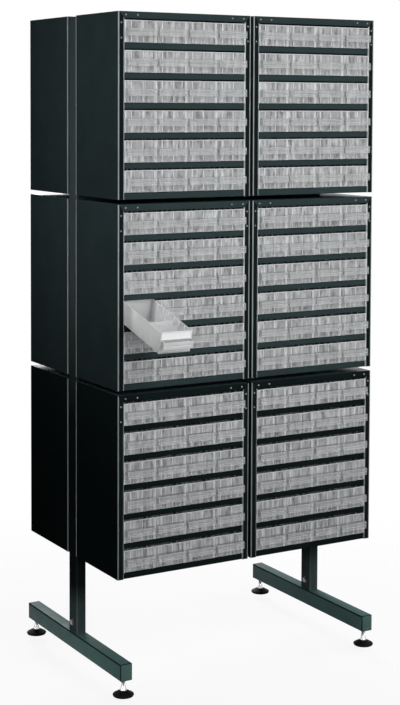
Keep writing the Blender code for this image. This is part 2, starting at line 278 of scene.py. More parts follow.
def grey(level):
    return (level, level, level)


def cool(level):
    """A grey with a trace of blue."""
    return (level * 0.98, level, level * 1.01)


def add_colour(tree, shader, pattern, stops):
    tree.links.new(ramp(tree, pattern, stops), shader.inputs["Base Color"])


def add_gloss(tree, shader, pattern, roughness, change):
    """Patches of more and less gloss."""
    stops = even(grey(roughness - change), grey(roughness + change))
    tree.links.new(ramp(tree, pattern, stops), shader.inputs["Roughness"])


def add_bump(tree, shader, height, strength, distance):
    bump = tree.nodes.new("ShaderNodeBump")
    socket_value(bump, Strength=strength, Distance=distance)
    tree.links.new(height, bump.inputs["Height"])
    tree.links.new(bump.outputs["Normal"], shader.inputs["Normal"])


def paint_material(name, colour, roughness, shine):
    """Powder coat: a slightly uneven colour, a fine orange peel and patches of more and less gloss."""
    material, tree, shader = new_material(name)
    mottle = noise(tree, scale=14.0, detail=4.0)
    add_colour(tree, shader, mottle, even(scaled(colour, 0.93), scaled(colour, 1.07)))
    add_gloss(tree, shader, noise(tree, scale=35.0), roughness, change=0.05)
    add_bump(tree, shader, noise(tree, scale=900.0, detail=2.0), strength=0.10, distance=0.0002)
    socket_value(shader, Specular_IOR_Level=shine)
    return material


def upright_material_with_painted_shade(name, colour, roughness):
    """The uprights' paint with painted shade, darkest along the stretch between the lower cabinets and just
    below them.
    """
    material = paint_material(name, colour, roughness, shine=0.0)
    tree = material.node_tree
    shader = tree.nodes["Principled BSDF"]
    paint = shader.inputs["Base Color"].links[0].from_socket
    place = tree.nodes.new("ShaderNodeTexCoord")
    split = tree.nodes.new("ShaderNodeSeparateXYZ")
    tree.links.new(place.outputs["Object"], split.inputs["Vector"])
    # Painted shade: the paint's colour is scaled by height, darkest from just above the feet up through the
    # lower cabinets.
    shade = ramp(tree, split.outputs["Z"], [(height, grey(share)) for height, share in UPRIGHT_PAINTED_SHADE])
    product = tree.nodes.new("ShaderNodeMixRGB")
    product.blend_type = "MULTIPLY"
    socket_value(product, Fac=1.0)
    tree.links.new(paint, product.inputs["Color1"])
    tree.links.new(shade, product.inputs["Color2"])
    tree.links.new(product.outputs["Color"], shader.inputs["Base Color"])
    return material


def clear_material(name, stops, alpha, roughness, coat=0.0, milky=0.0):
    """Clear moulded plastic with upright streaks and a slight ripple; light spreads inside a milky one.

    The streaks are upright bands of lighter and darker grey. The stops give their grey levels.
    """
    material, tree, shader = new_material(name)
    streaks = noise(tree, scale=150.0, detail=2.0, stretch=(1.0, 1.0, 0.2))
    add_colour(tree, shader, streaks, [(position, cool(level)) for position, level in stops])
    ripple = noise(tree, scale=120.0, detail=2.0, stretch=(1.0, 1.0, 0.3))
    add_bump(tree, shader, ripple, strength=0.06, distance=0.0005)
    socket_value(shader, Alpha=alpha, Roughness=roughness, IOR=PLASTIC_IOR, Coat_Weight=coat)
    socket_value(shader, Subsurface_Weight=milky, Subsurface_Radius=(1, 1, 1), Subsurface_Scale=MILK_DEPTH)
    return material


def steel_material(name, low, high, roughness):
    """Zinc plate with fine turned lines."""
    material, tree, shader = new_material(name)
    lines = noise(tree, scale=500.0, detail=2.0, stretch=(0.2, 0.2, 3.0))
    add_colour(tree, shader, lines, even(grey(low), grey(high)))
    add_gloss(tree, shader, noise(tree, scale=200.0), roughness, change=0.08)
    add_bump(tree, shader, lines, strength=0.1, distance=0.0002)
    socket_value(shader, Metallic=1.0)
    return material


def moulded_material(name, colour, roughness):
    """Dull moulded plastic with a fine spark texture."""
    material, tree, shader = new_material(name)
    add_colour(tree, shader, noise(tree, scale=70.0), even(scaled(colour, 0.7), scaled(colour, 1.4)))
    add_gloss(tree, shader, noise(tree, scale=160.0), roughness, change=0.08)
    add_bump(tree, shader, noise(tree, scale=1500.0, detail=2.0), strength=0.2, distance=0.0002)
    socket_value(shader, Specular_IOR_Level=0.05)
    return material


def card_material():
    """White card with a faint fibre."""
    material, tree, shader = new_material("label_card")
    fibre = noise(tree, scale=400.0, detail=4.0, stretch=(1, 0.3, 1))
    add_colour(tree, shader, fibre, even(grey(0.86), grey(0.94)))
    add_bump(tree, shader, noise(tree, scale=2500.0), strength=0.2, distance=0.0001)
    socket_value(shader, Roughness=0.7)
    return material


CASE_PAINT = paint_material("case_paint", (0.028, 0.043, 0.045), roughness=0.55, shine=0.0)
# Painted shade: the lowest tier's near-black paint and its dimmer edge and roll colours. Every casing's flanges
# also take the near-black paint.
CASE_DARK_AND_SHADE = paint_material("case_dark_paint_and_painted_shade", (0.007, 0.0115, 0.012), roughness=0.55, shine=0.0)
CASE_TOP = paint_material("case_top_paint", (0.028, 0.043, 0.045), roughness=0.30, shine=0.12)
# Painted highlight: a light colour on the casings' bent corners, rear hems and upright edges.
CASE_HIGHLIGHT = paint_material("case_painted_edge_highlight", (0.29, 0.315, 0.315), roughness=0.40, shine=0.2)
CASE_SHADED_HIGHLIGHT = paint_material("case_painted_edge_highlight_in_shade", (0.20, 0.22, 0.22), roughness=0.40, shine=0.2)
# Painted highlight: a near-white colour on the flanges' rolled inner edges.
CASE_ROLL_HIGHLIGHT = paint_material("case_painted_roll_highlight", (0.58, 0.62, 0.62), roughness=0.35, shine=0.3)
CASE_SHADED_ROLL_HIGHLIGHT = paint_material("case_painted_roll_highlight_in_shade", (0.30, 0.32, 0.32), roughness=0.35, shine=0.3)
UPRIGHT_PAINT_SHADED = upright_material_with_painted_shade("upright_paint_and_painted_shade", (0.055, 0.080, 0.080), roughness=0.50)
# Painted highlight: a lighter colour on the uprights' rounded corners, with the same painted shade by height.
UPRIGHT_HIGHLIGHT = upright_material_with_painted_shade("upright_painted_edge_highlight", (0.110, 0.135, 0.135), roughness=0.45)
FRAME_PAINT = paint_material("frame_paint", (0.076, 0.147, 0.139), roughness=0.50, shine=0.05)
# A dark line on the bars' edges: a seam where the top plate meets the channel, painted shade along the other
# edges.
FRAME_SEAM_AND_SHADE = paint_material("frame_seam_and_painted_shade", (0.018, 0.032, 0.031), roughness=0.60, shine=0.0)
CLEAR_WALL = clear_material("clear_plastic", even(0.52, 0.66), alpha=0.38, roughness=0.14)
# Painted highlight: the lighter, more opaque colour on the drawers' edges and ribs.
CLEAR_EDGE_HIGHLIGHT = clear_material("clear_plastic_edge_highlight", even(0.72, 0.82), alpha=0.62, roughness=0.30)
# Painted highlight: the near-white colour on the drawers' side rims and beads.
CLEAR_RIM_HIGHLIGHT = clear_material("clear_plastic_rim_highlight", even(0.84, 0.92), alpha=0.60, roughness=0.30)
# Painted shade: the dark clear colour on the grip's groove and upper side.
CLEAR_SHADE = clear_material("clear_plastic_painted_shade", even(0.20, 0.30), alpha=0.50, roughness=0.20)
STREAKS = [(0.34, 0.29), (0.45, 0.50), (0.55, 0.57), (0.66, 0.84)]
CLEAR_FRONT = clear_material("clear_plastic_front", STREAKS, alpha=0.48, roughness=0.32)
CLEAR_GRIP = clear_material("clear_plastic_grip", even(0.66, 0.88), alpha=0.21, roughness=0.30)
CLEAR_FACE = clear_material("clear_plastic_face", even(0.66, 0.76), alpha=0.85, roughness=0.14)
OPEN_WALL = clear_material("clear_plastic_open", even(0.92, 0.98), alpha=0.55, roughness=0.14,
                           coat=1.0, milky=1.0)
OPEN_EDGE = clear_material("clear_plastic_open_edge", even(0.93, 0.98), alpha=0.92, roughness=0.20)
STEEL = steel_material("zinc_plate", low=0.50, high=0.72, roughness=0.26)
SCREW_STEEL = steel_material("dull_zinc", low=0.15, high=0.23, roughness=0.45)
BLACK_PLASTIC = moulded_material("black_plastic", (0.006, 0.006, 0.007), roughness=0.55)
CARD = card_material()

# Finishes of a closed and of the open drawer, in the order of the slots
CLEAR = [CLEAR_WALL, CLEAR_EDGE_HIGHLIGHT, CLEAR_SHADE, CLEAR_FRONT, CLEAR_GRIP, CLEAR_RIM_HIGHLIGHT, CLEAR_WALL]
CLEAR_OPEN = [OPEN_WALL, OPEN_EDGE, CLEAR_SHADE, CLEAR_FACE, CLEAR_FACE, CLEAR_RIM_HIGHLIGHT, OPEN_WALL]


# Building blocks

def mark(faces, slot):
    for face in faces:
        face.material_index = slot


def add_box(bm, low, high):
    """A box between two opposite corners; returns its faces."""
    verts = [bm.verts.new((x, y, z)) for x in (low[0], high[0]) for y in (low[1], high[1])
             for z in (low[2], high[2])]
    corners = ((0, 1, 3, 2), (4, 6, 7, 5), (0, 4, 5, 1), (2, 3, 7, 6), (0, 2, 6, 4), (1, 5, 7, 3))
    return [bm.faces.new([verts[index] for index in face]) for face in corners]


def add_ring(bm, outline, level, axis):
    """Points of an outline in the two other axes, in X, Y, Z order, at a level on one axis."""
    ring = []
    for a, b in outline:
        place = [a, b]
        place.insert(axis, level)
        ring.append(bm.verts.new(place))
    return ring


def add_prism(bm, outline, low, high, axis, slot=PLAIN):
    """A closed outline extruded along one axis; returns its side faces."""
    first, second = [add_ring(bm, outline, level, axis) for level in (low, high)]
    count = len(outline)
    sides = []
    for index in range(count):
        after = (index + 1) % count
        sides.append(bm.faces.new((first[index], first[after], second[after], second[index])))
    ends = [bm.faces.new(first), bm.faces.new(list(reversed(second)))]
    mark(sides + ends, slot)
    return sides


def add_turned(bm, profile, sides):
    """A (radius, z) outline, from one point on the Z axis to another, spun round it; returns its faces."""
    rings = []
    for radius, z in profile:
        count = sides if radius else 1
        angles = [2 * math.pi * step / count for step in range(count)]
        outline = [(radius * math.cos(angle), radius * math.sin(angle)) for angle in angles]
        rings.append(add_ring(bm, outline, z, Z_AXIS))
    faces = []
    for above, below in zip(rings, rings[1:]):
        for step in range(sides):
            after = (step + 1) % sides
            corners = [above[step % len(above)], above[after % len(above)],
                       below[after % len(below)], below[step % len(below)]]
            faces.append(bm.faces.new(list(dict.fromkeys(corners))))
    return faces


def arc(middle, radius, start, end, steps):
    """Points on an arc, from one angle to another in degrees."""
    angles = [math.radians(start + (end - start) * step / steps) for step in range(steps + 1)]
    return [(middle[0] + radius * math.cos(angle), middle[1] + radius * math.sin(angle)) for angle in angles]


def rounded_rectangle(half_a, half_b, radius):
    """Outline of a rectangle with round corners, about its middle."""
    outline = []
    for sign_a, sign_b, start in ((1, 1, 0), (-1, 1, 90), (-1, -1, 180), (1, -1, 270)):
        middle = (sign_a * (half_a - radius), sign_b * (half_b - radius))
        outline += arc(middle, radius, start, start + 90, TUBE_STEPS)
    return outline


def add_tube(bm, half_a, half_b, low, high, axis, radius, slot):
    """A rectangular tube with rounded corners, open at both ends; its corners get a slot of their own."""
    outer = rounded_rectangle(half_a, half_b, radius)
    inner = rounded_rectangle(half_a - TUBE_WALL, half_b - TUBE_WALL, radius - TUBE_WALL)
    layers = ((outer, low), (outer, high), (inner, high), (inner, low))
    rings = [add_ring(bm, outline, level, axis) for outline, level in layers]
    count = len(outer)
    per_corner = count // 4
    for layer in range(len(rings)):
        first, second = rings[layer], rings[(layer + 1) % len(rings)]
        for index in range(count):
            after = (index + 1) % count
            face = bm.faces.new((first[index], first[after], second[after], second[index]))
            if layer == 0 and index % per_corner != per_corner - 1:
                face.material_index = slot


def bevel(bm, width, segments, slot=NO_SLOT, least=FOLD_ANGLE):
    """Bevels the edges whose two faces meet at more than an angle in degrees."""
    bmesh.ops.recalc_face_normals(bm, faces=bm.faces)
    edges = [edge for edge in bm.edges if edge.calc_face_angle(0) > math.radians(least)]
    bmesh.ops.bevel(bm, geom=edges, offset=width, segments=segments, profile=0.5,
                    affect="EDGES", clamp_overlap=True, material=slot)


def make_piece(name, bm, materials, body, replaced=(), smooth_angle=SMOOTH_ANGLE):
    """Turns a bmesh, in the frame's coordinates, into a piece that rides on a body."""
    bmesh.ops.recalc_face_normals(bm, faces=bm.faces)
    mesh = bpy.data.meshes.new(name)
    bm.to_mesh(mesh)
    bm.free()
    for material in materials:
        mesh.materials.append(material)
    mesh.shade_smooth()
    mesh.set_sharp_from_angle(angle=math.radians(smooth_angle))
    piece = bpy.data.objects.new(name, mesh)
    bpy.context.scene.collection.objects.link(piece)
    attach(piece, body)
    if replaced:
        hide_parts(*replaced)


def merge(target, source, matrix):
    """Copies a mesh into a bmesh, moved by a matrix."""
    moved = source.copy()
    moved.transform(matrix)
    target.from_mesh(moved)
    bpy.data.meshes.remove(moved)


def merge_bmesh(target, part, matrix):
    """Copies a bmesh into another, moved by a matrix, and frees it."""
    mesh = bpy.data.meshes.new("part")
    part.to_mesh(mesh)
    part.free()
    merge(target, mesh, matrix)
    bpy.data.meshes.remove(mesh)


def node_middle(node):
    """Middle and size of a node's box."""
    low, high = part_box(node)
    return (low + high) / 2, high - low


# Casings

def shelf_height(row, case_height):
    """Height of a row's shelf above the casing's bottom; row 1 is the top one."""
    return case_height - BAND_HEIGHT - row * OPENING_HEIGHT - (row - 1) * LIP_HEIGHT


def column_middle(column, case_width):
    """A column's middle, from the middle of the casing; column 1 is the left one."""
    pitch = (case_width - 2 * FLANGE_WIDTH) / COLUMNS
    return (column - (COLUMNS + 1) / 2) * pitch


def case_transform(label):
    """From a casing's own place, front face at y = 0 and bottom at z = 0, to its place on the stand."""
    low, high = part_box("casing_" + label)
    middle = (low.x + high.x) / 2
    if "_front_" in label:
        return Matrix.Translation((middle, low.y, low.z))
    return Matrix.Translation((middle, high.y, low.z)) @ Matrix.Rotation(HALF_TURN, 4, "Z")


def add_screw(bm, x, z):
    """A low domed screw head with a dimple, on the casing's front face."""
    head = bmesh.new()
    rim = [(SCREW_RADIUS * wide, SCREW_RISE * tall) for wide, tall in SCREW_OUTLINE]
    mark(add_turned(head, [(0, SCREW_RISE * SCREW_DIMPLE)] + rim + [(0, 0)], SCREW_SIDES), THIRD)
    merge_bmesh(bm, head, Matrix.Translation((x, 0, z)) @ Matrix.Rotation(QUARTER_TURN, 4, "X"))


def add_side_panel(bm, half, depth, height, sign):
    """A side panel, bent round into the front frame, with a hem turned in a little at its rear edge."""
    middle = (CORNER_RADIUS - half, CORNER_RADIUS)
    corner = arc(middle, CORNER_RADIUS, 180, 270, SHEET_STEPS)
    rear = [(REAR_TURN - half, depth), (-half, depth - REAR_HEM)]
    returned = CORNER_RADIUS + CORNER_RETURN - half
    inside = [(returned, 0), (returned, SHEET), (SHEET - half, SHEET), (SHEET - half, depth)]
    faces = add_prism(bm, [(-sign * x, y) for x, y in rear + corner + inside], 0, height, Z_AXIS)
    hem, bend = faces[:1], faces[2:len(corner) + 2]
    # The bend and the rear hem take the edge colour, a painted highlight.
    mark(hem + bend, LINE)


def add_front_frame(bm, half, height):
    """The top band and the two flanges mitred to it, each with its inner edge rolled into the opening."""
    inner = half - FLANGE_WIDTH
    outer = half - CORNER_RADIUS - CORNER_RETURN - JOIN
    top = height - BAND_HEIGHT
    seam = inner + ROLL_RADIUS + JOIN
    mitre = top + (height - MITRE_GAP - top) * (seam - inner) / (outer - inner)
    roll = arc((inner + ROLL_RADIUS, ROLL_RADIUS), ROLL_RADIUS, 180, 270, SHEET_STEPS)
    rear = LIP_SETBACK + SHEET
    for sign in (-1, 1):
        outline = [(outer, 0), (outer, height - MITRE_GAP), (seam, mitre), (seam, 0)]
        add_prism(bm, [(sign * x, z) for x, z in outline], 0, FLANGE_HEM, Y_AXIS, FLANGE)
        outline = roll + [(inner + ROLL_RADIUS, rear), (inner, rear)]
        faces = add_prism(bm, [(sign * x, y) for x, y in outline], 0, top, Z_AXIS)
        curve, reveal = faces[:len(roll) - 1], faces[-1:]
        # The roll and its reveal take the roll colour, a painted highlight.
        mark(curve + reveal, ROLL)
    band = outer - MITRE_GAP
    near = inner - MITRE_GAP
    add_prism(bm, [(-band, height), (band, height), (near, top), (-near, top)], 0, SHEET - JOIN, Y_AXIS)


def add_lips_and_shelves(bm, half, height, notched):
    """A shelf under each row, its front edge bent down into a lip that stands back between the flanges."""
    inner = half - FLANGE_WIDTH
    side = half - SHEET - JOIN
    rear = LIP_SETBACK + SHEET
    for row in range(1, ROWS + 1):
        shelf = shelf_height(row, height)
        add_box(bm, (-side, rear + JOIN, shelf - SHEET), (side, SHELF_DEPTH, shelf))
        low, high = JOIN - inner, inner - JOIN
        bottom = 0 if row == ROWS else shelf - LIP_HEIGHT
        if notched and row == OPEN_ROW:
            edge = column_middle(OPEN_COLUMN, 2 * half) + inner / COLUMNS
            add_box(bm, (low, LIP_SETBACK, bottom), (edge - JOIN, rear, shelf - ROD_NOTCH))
            low = edge
        add_box(bm, (low, LIP_SETBACK, bottom), (high, rear, shelf))


def casing_bmesh(width, depth, height, notched):
    """Folded sheet casing: five panels, a mitred front frame, lips, shelves and screw heads."""
    bm = bmesh.new()
    half = width / 2
    for sign in (-1, 1):
        add_side_panel(bm, half, depth, height, sign)
    side = half - SHEET - JOIN
    mark(add_box(bm, (-side, SHEET, height - SHEET), (side, depth, height)), TOP)
    add_box(bm, (-side, LIP_SETBACK + SHEET + JOIN, 0), (side, depth, SHEET))
    add_box(bm, (-side, depth - SHEET, SHEET + JOIN), (side, depth, height - SHEET - JOIN))
    add_front_frame(bm, half, height)
    add_lips_and_shelves(bm, half, height, notched)
    # Bevels take the edge colour, a painted highlight, which stays only on bends and upright edges.
    bent = {face for face in bm.faces if face.material_index == LINE}
    bevel(bm, SHEET_EDGE, segments=2, slot=LINE)
    for face in bm.faces:
        heights = [vert.co.z for vert in face.verts]
        widths = [vert.co.x for vert in face.verts]
        upright = max(heights) - min(heights) > SHORT_LINE > max(widths) - min(widths)
        if face.material_index == LINE and face not in bent and not upright:
            face.material_index = PLAIN
    for sign in (-1, 1):
        for inset in BAND_SCREWS:
            add_screw(bm, sign * (half - inset), height - BAND_HEIGHT / 2)
        for drop in FLANGE_SCREWS:
            add_screw(bm, sign * (half - FLANGE_WIDTH / 2), height - drop)
    return bm


# Drawers

def add_tray(bm, half, length, height):
    """An open box with drafted outer walls."""
    def ring(half_width, front, rear, z):
        corners = ((-half_width, front), (half_width, front), (half_width, rear), (-half_width, rear))
        return add_ring(bm, corners, z, Z_AXIS)

    wall = DRAWER_WALL
    foot = half - DRAWER_DRAFT
    outer_low = ring(foot, 0, length - DRAWER_DRAFT, 0)
    outer_high = ring(half, 0, length, height)
    inner_high = ring(half - wall, wall, length - wall, height)
    inner_low = ring(foot - wall, wall, length - wall - DRAWER_DRAFT, DRAWER_FLOOR)
    for below, above in ((outer_low, outer_high), (outer_high, inner_high), (inner_high, inner_low)):
        for index in range(4):
            after = (index + 1) % 4
            bm.faces.new((below[index], below[after], above[after], above[index]))
    bm.faces.new(list(reversed(outer_low)))
    floor = bm.faces.new(inner_low)
    mark([floor] + [face for face in bm.faces if len(set(face.verts) & set(inner_high)) == 2
                    and set(face.verts) & set(inner_low)], INSIDE)
    mark([face for face in bm.faces if max(vert.co.y for vert in face.verts) <= wall], FRONT)


def add_handle(bm, half):
    """A box-shaped grip across the front, open below, with closed ends and a groove along its face."""
    top = HANDLE_TOP
    wall = DRAWER_WALL
    face = -HANDLE_REACH
    end = half - RIM_WIDTH - JOIN
    floor = face + GROOVE_DEPTH
    groove_top = GROOVE_BOTTOM + GROOVE_HEIGHT
    outline = [(-JOIN, top - wall), (-JOIN, top), (face, top), (face, groove_top), (floor, groove_top),
               (floor, GROOVE_BOTTOM), (face, GROOVE_BOTTOM), (face, HANDLE_BOTTOM),
               (face + wall, HANDLE_BOTTOM), (face + wall, top - wall)]
    sides = add_prism(bm, outline, wall - end, end - wall, X_AXIS)
    upper_side, groove_sides = sides[1], sides[3:6]
    mark(sides, GRIP)
    # The grip's upper side and groove take the dark clear colour, a painted shade.
    mark([upper_side] + groove_sides, THIRD)
    for sign in (-1, 1):
        near, far = sorted((sign * (end - wall + JOIN), sign * end))
        mark(add_box(bm, (near, face, HANDLE_BOTTOM), (far, -JOIN, top)), GRIP)


def add_drawer(bm, width, length, height, dividers):
    """One clear drawer with its grip, front frame, divider slots and dividers; its front wall is y = 0."""
    half = width / 2
    inner = half - DRAWER_WALL - DRAWER_DRAFT
    add_tray(bm, half, length, height)
    add_handle(bm, half)
    # Bevelled edges take the edge colour, a painted highlight.
    bevel(bm, DRAWER_EDGE, segments=1, slot=LINE, least=DRAWER_EDGE_ANGLE)
    rims = []
    ribs = []
    for sign in (-1, 1):
        near, far = sorted((sign * (half - RIM_WIDTH), sign * half))
        rims += add_box(bm, (near, -RIM_DEPTH, 0), (far, -JOIN, height))
        near, far = sorted((sign * (inner - RIB_SIZE), sign * (inner - JOIN)))
        for depth in RIB_DEPTHS:
            for offset in (-1, 1):
                y = depth + offset * (DIVIDER_THICKNESS / 2 + RIB_SIZE)
                low = (near, y - RIB_SIZE / 2, DRAWER_FLOOR + RIB_SIZE)
                ribs += add_box(bm, low, (far, y + RIB_SIZE / 2, height - RIB_SIZE))
    across = half - RIM_WIDTH - JOIN
    ribs += add_box(bm, (-across, -RIM_DEPTH, height - TOP_RIM), (across, -JOIN, height))
    add_box(bm, (-across, -RIM_DEPTH, 0), (across, -JOIN, BOTTOM_RIM))
    bead_levels = ((BOTTOM_RIM + JOIN, HANDLE_BOTTOM - JOIN), (HANDLE_TOP + JOIN, height - TOP_RIM - JOIN))
    for share in BEADS:
        x = share * width - half
        for low, high in bead_levels:
            rims += add_box(bm, (x - BEAD_WIDTH / 2, -BEAD_DEPTH, low), (x + BEAD_WIDTH / 2, -JOIN, high))
    # The side rims and beads take the rim colour, a painted highlight.
    mark(rims, RIM)
    # The ribs and the top rim take the edge colour, a painted highlight.
    mark(ribs, LINE)
    edge = inner - RIB_SIZE / 2
    for depth, tall in dividers:
        mark(add_box(bm, (-edge, depth - DIVIDER_THICKNESS / 2, DRAWER_FLOOR + JOIN),
                     (edge, depth + DIVIDER_THICKNESS / 2, tall)), INSIDE)


def drawer_size():
    """Width, length without its handle, and height of a drawer."""
    size = node_middle(CLOSED_DRAWER)[1]
    return size.x, size.y - HANDLE_REACH, size.z


def drawer_kinds():
    """Meshes of a drawer with its dividers in different slots."""
    width, length, height = drawer_size()
    kinds = []
    for kind in range(DRAWER_KINDS):
        chance = random.Random(kind)
        depths = [RIB_DEPTHS[1]] + chance.sample(RIB_DEPTHS[2:], chance.choice(EXTRA_DIVIDERS))
        dividers = [(depth, DIVIDER_HEIGHT + chance.uniform(-1, 1) * RIB_SIZE) for depth in depths]
        bm = bmesh.new()
        add_drawer(bm, width, length, height, dividers)
        mesh = bpy.data.meshes.new(f"drawer_kind_{kind}")
        bm.to_mesh(mesh)
        bm.free()
        kinds.append(mesh)
    return kinds


def add_casing(tier, label):
    """One cabinet's casing; the lowest tier gets darker paint and dimmer edge colours as painted shade, and
    only the top tier's roof is dull.
    """
    node = "casing_" + label
    size = node_middle(node)[1]
    # Painted shade: the lowest tier takes the near-black paint and dimmer edge and roll colours.
    if tier == TIERS[0]:
        paint, line, roll = CASE_DARK_AND_SHADE, CASE_SHADED_HIGHLIGHT, CASE_SHADED_ROLL_HIGHLIGHT
    else:
        paint, line, roll = CASE_PAINT, CASE_HIGHLIGHT, CASE_ROLL_HIGHLIGHT
    top = CASE_PAINT if tier == TIERS[-1] else CASE_TOP
    casing = casing_bmesh(size.x, size.y, size.z, label == SLIDING_CABINET)
    bmesh.ops.transform(casing, matrix=case_transform(label), verts=casing.verts)
    finishes = [paint, line, SCREW_STEEL, top, roll, CASE_DARK_AND_SHADE]
    make_piece("cabinet_" + label, casing, finishes, ROOT, [node])


def add_bank(label, kinds):
    """The closed drawers of one cabinet."""
    size = node_middle("casing_" + label)[1]
    place = case_transform(label)
    chance = random.Random(label)
    first_row = SLIDING_ROWS + 1 if label == SLIDING_CABINET else 1
    bank = bmesh.new()
    for row in range(first_row, ROWS + 1):
        for column in range(1, COLUMNS + 1):
            spot = (column_middle(column, size.x), DRAWER_SETBACK, shelf_height(row, size.z) + SEAT)
            merge(bank, chance.choice(kinds), place @ Matrix.Translation(spot))
    make_piece("drawers_" + label, bank, CLEAR, ROOT, ["drawer_bank_" + label])


def add_cabinets(kinds):
    """Casings and their banks of closed drawers."""
    for tier in TIERS:
        for face in FACES:
            for side in SIDES:
                label = "_".join((tier, face, side))
                add_casing(tier, label)
                add_bank(label, kinds)


def open_transform():
    """Place of the open drawer's front bottom edge, from its joint's axis and the frame's solid."""
    slide = next(joint for joint in frame["joints"] if joint["name"] == OPEN_DRAWER + "_slide")
    tilt = math.asin(-slide["axis"][Z_AXIS])
    turn = Matrix.Rotation(tilt, 4, "X")
    corners = [turn.inverted() @ vert.co for vert in frame["nodes"][OPEN_DRAWER].data.vertices]
    low = Vector((min(corner[axis] for corner in corners) for axis in range(3)))
    high = Vector((max(corner[axis] for corner in corners) for axis in range(3)))
    return turn @ Matrix.Translation(((low.x + high.x) / 2, low.y + HANDLE_REACH, low.z))


def closed_transform(node):
    """Place of a closed drawer's front bottom edge."""
    low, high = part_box(node)
    return Matrix.Translation(((low.x + high.x) / 2, low.y + HANDLE_REACH, low.z))


def add_sliding_drawers(kinds):
    """The drawers that slide one by one."""
    for row in range(1, SLIDING_ROWS + 1):
        for column in range(1, COLUMNS + 1):
            node = f"drawer_row{row}_col{column}"
            if node == OPEN_DRAWER:
                place, finishes = open_transform(), CLEAR_OPEN
            else:
                place, finishes = closed_transform(node), CLEAR
            bm = bmesh.new()
            merge(bm, random.Random(node).choice(kinds), place)
            make_piece(node + "_clear", bm, finishes, node, [node])


def add_label():
    """The blank card on the front of the open drawer."""
    width, _, height = drawer_size()
    card = bmesh.new()
    edge = width / 2 - RIM_WIDTH - SEAT
    add_box(card, (-edge, -RIM_DEPTH, HANDLE_TOP + SEAT),
            (edge, LABEL_THICKNESS - RIM_DEPTH, height - RIM_WIDTH - SEAT))
    bevel(card, LABEL_EDGE, segments=1)
    bmesh.ops.transform(card, matrix=open_transform(), verts=card.verts)
    make_piece("label_card", card, [CARD], OPEN_DRAWER)


# Frame, fasteners and feet

def add_upright(side):
    """A rounded tube with a plug in its top end."""
    node = "upright_" + side
    middle, size = node_middle(node)
    half = size / 2
    bm = bmesh.new()
    # The rounded corners take the lighter colour, a painted highlight.
    add_tube(bm, half.x, half.y, -half.z, half.z, Z_AXIS, POST_RADIUS, LINE)
    inset = TUBE_WALL + SEAT
    plug = rounded_rectangle(half.x - inset, half.y - inset, POST_RADIUS - TUBE_WALL)
    plug_top = half.z - CAP_SINK
    sides = add_prism(bm, plug, plug_top - CAP_THICKNESS, plug_top, Z_AXIS)
    mark({face for one in sides for edge in one.edges for face in edge.link_faces}, THIRD)
    bmesh.ops.translate(bm, vec=middle, verts=bm.verts)
    make_piece("post_" + side, bm, [UPRIGHT_PAINT_SHADED, UPRIGHT_HIGHLIGHT, BLACK_PLASTIC], ROOT, [node])


def add_cross_rail(place):
    """A rounded tube between the uprights."""
    node = "cross_rail_" + place
    middle, size = node_middle(node)
    half = size / 2
    bm = bmesh.new()
    add_tube(bm, half.y, half.z, -half.x, half.x, X_AXIS, TUBE_RADIUS, PLAIN)
    bmesh.ops.translate(bm, vec=middle, verts=bm.verts)
    make_piece("rail_" + place, bm, [UPRIGHT_PAINT_SHADED], ROOT, [node])


def add_base_bar(side):
    """A channel closed by a top plate and end plates, with the spigot that carries the upright."""
    node = "base_bar_" + side
    low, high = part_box(node)
    tube = node_middle("upright_" + side)[1]
    bar_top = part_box("upright_" + side)[0].z - SEAT
    half = (high.x - low.x) / 2
    length = (high.y - low.y) / 2
    tall = bar_top - low.z
    radius = TUBE_RADIUS
    end = length - CAP_THICKNESS - SEAM
    rim = tall - CAP_THICKNESS - SEAM
    inner = half - TUBE_WALL
    floor = (arc((radius - half, radius), radius, 180, 270, TUBE_STEPS)
             + arc((half - radius, radius), radius, 270, 360, TUBE_STEPS))
    channel = floor + [(half, rim), (inner, rim), (inner, TUBE_WALL + radius), (inner - radius, TUBE_WALL),
                       (radius - inner, TUBE_WALL), (-inner, TUBE_WALL + radius), (-inner, rim), (-half, rim)]
    bm = bmesh.new()
    add_prism(bm, channel, -end, end, Y_AXIS)
    add_box(bm, (-half, -end, tall - CAP_THICKNESS), (half, end, tall))
    for sign in (-1, 1):
        near, far = sorted((sign * (length - CAP_THICKNESS), sign * length))
        plate = rounded_rectangle(half, tall / 2, radius / 2)
        add_prism(bm, [(x, z + tall / 2) for x, z in plate], near, far, Y_AXIS)
    inside = TUBE_WALL + SEAT
    add_box(bm, (inside - tube.x / 2, inside - tube.y / 2, tall + JOIN),
            (tube.x / 2 - inside, tube.y / 2 - inside, tall + SPIGOT_HEIGHT))
    # Every sharp edge gets a thin dark line: a seam at the top plate, painted shade elsewhere.
    bevel(bm, BAR_EDGE, segments=2, slot=LINE, least=BAR_EDGE_ANGLE)
    bmesh.ops.translate(bm, vec=((low.x + high.x) / 2, (low.y + high.y) / 2, low.z), verts=bm.verts)
    make_piece("foot_bar_" + side, bm, [FRAME_PAINT, FRAME_SEAM_AND_SHADE], ROOT, [node])


def add_hexagon(bm, low, high):
    """A chamfered hexagon between two levels on the Z axis."""
    chamfer = (high - low) * HEX_CHAMFER
    profile = [(0, low), (HEX_RADIUS - chamfer / 2, low), (HEX_RADIUS, low + chamfer),
               (HEX_RADIUS, high - chamfer), (HEX_RADIUS - chamfer, high), (0, high)]
    add_turned(bm, profile, HEX_SIDES)


